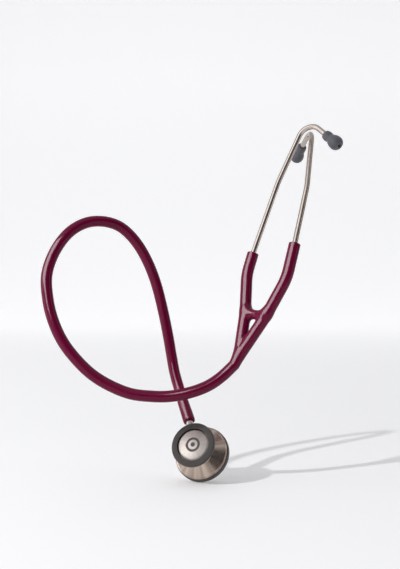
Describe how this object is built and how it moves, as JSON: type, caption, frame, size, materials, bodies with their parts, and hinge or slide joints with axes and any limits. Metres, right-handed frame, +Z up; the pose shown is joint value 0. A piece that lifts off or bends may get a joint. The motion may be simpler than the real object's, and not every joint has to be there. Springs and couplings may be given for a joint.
{
  "type": "stethoscope",
  "caption": "Double-sided acoustic stethoscope: swivelling chestpiece, one-piece tube and yoke, sprung bent ear tubes with soft tips.",
  "frame": {"origin": "bottom of the saddle between the two branches of the yoke, where a hook or a finger goes", "axes": "+Z up, +X to the right and +Y away from the front, with the chestpiece standing on the edge of its large rim at the lowest point; the yoke and headset lean to the right and back"},
  "size_m": [0.2469, 0.0998, 0.2971],
  "materials": {
    "chestpiece_steel": "polished turned stainless steel, faintly warm",
    "disc_steel": "fine satin, champagne tint, bright chamfered edge",
    "rim_rubber": "smooth dark grey soft rubber",
    "diaphragm_plastic": "stiff glass-fibre laminate, semi-gloss",
    "mark_enamel": "dark grey enamel inlay",
    "hardware_steel": "plain turned steel",
    "seal_rubber": "black rubber",
    "index_enamel": "white enamel",
    "tube_rubber": "glossy burgundy moulded vinyl",
    "spring_steel": "blued spring steel strip",
    "ear_tube_steel": "satin polished drawn tube",
    "insert_plastic": "hard moulded plastic",
    "ear_tip_rubber": "soft satin dark grey silicone"
  },
  "bodies": {
    "root": {"stem": "chestpiece_steel", "stem_seals": "seal_rubber", "index_dot": "index_enamel", "main_tube": "tube_rubber", "yoke_core": "tube_rubber", "leaf_spring": "spring_steel"},
    "chestpiece": {"chestpiece_body": "chestpiece_steel", "large_rim": "rim_rubber", "small_rim": "rim_rubber", "detent_ball": "hardware_steel", "detent_spring": "hardware_steel", "detent_plug": "hardware_steel", "stem_nut": "chestpiece_steel"},
    "large_membrane": {"large_diaphragm": "diaphragm_plastic"},
    "small_membrane": {"small_diaphragm": "disc_steel", "disc_mark": "mark_enamel"},
    "left_headset": {"left_branch": "tube_rubber", "left_ear_tube": "ear_tube_steel", "left_anchor_ring": "hardware_steel", "left_tip_insert": "insert_plastic"},
    "left_tip": {"left_ear_tip": "ear_tip_rubber"},
    "right_headset": {"right_branch": "tube_rubber", "right_ear_tube": "ear_tube_steel", "right_anchor_ring": "hardware_steel", "right_tip_insert": "insert_plastic"},
    "right_tip": {"right_ear_tip": "ear_tip_rubber"}
  },
  "joints": [
    {"name": "chest_turn", "type": "hinge", "parent": "root", "child": "chestpiece", "pos_m": [-0.049, 0, -0.113], "axis": [-0.254, 0.5831, 0.7716], "continuous": true},
    {"name": "large_press", "type": "slide", "parent": "chestpiece", "child": "large_membrane", "axis": [-0.3244, -0.803, 0.5], "range_m": [0, 0.0003], "stiffness_N_per_m": 400},
    {"name": "small_press", "type": "slide", "parent": "chestpiece", "child": "small_membrane", "axis": [0.3244, 0.803, -0.5], "range_m": [0, 0.0003], "stiffness_N_per_m": 600},
    {"name": "left_spread", "type": "hinge", "parent": "root", "child": "left_headset", "pos_m": [-0.00914, 0.00589, -0.00283], "axis": [-0.5812, -0.739, 0.3407], "range_deg": [0, 38], "stiffness_Nm_per_rad": 1.5, "deforming": ["leaf_spring"]},
    {"name": "right_spread", "type": "hinge", "parent": "root", "child": "right_headset", "pos_m": [0.00688, -0.00756, -0.00466], "axis": [0.5812, 0.739, -0.3407], "range_deg": [0, 38], "stiffness_Nm_per_rad": 1.5},
    {"name": "left_tip_pull", "type": "slide", "parent": "left_headset", "child": "left_tip", "axis": [0.5241, -0.5829, -0.621], "range_m": [0, 0.014]},
    {"name": "right_tip_pull", "type": "slide", "parent": "right_headset", "child": "right_tip", "axis": [-0.256, 0.7982, -0.5452], "range_m": [0, 0.014]}
  ],
  "couplings": [
    {"joint": "right_spread", "follows": "left_spread", "ratio": 1}
  ]
}
